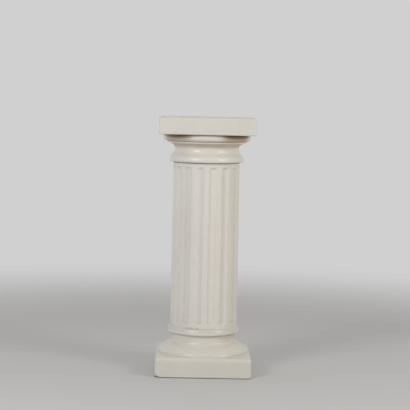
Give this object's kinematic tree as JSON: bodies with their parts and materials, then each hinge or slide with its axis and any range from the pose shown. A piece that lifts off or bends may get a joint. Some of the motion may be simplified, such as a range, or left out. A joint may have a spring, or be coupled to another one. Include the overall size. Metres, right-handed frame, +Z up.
{
  "type": "plaster column pedestal",
  "caption": "Square-topped plaster pedestal with a turned capital, a fluted round shaft, a turned base and a square plinth, painted cream.",
  "frame": {"origin": "centre of the square underside, on the floor", "axes": "+Z up along the shaft's axis; the front face looks along -Y and +X is to its right"},
  "size_m": [0.28, 0.28, 0.75],
  "materials": {
    "painted plaster": null
  },
  "bodies": {
    "root": {"pedestal": "painted plaster"}
  },
  "joints": []
}
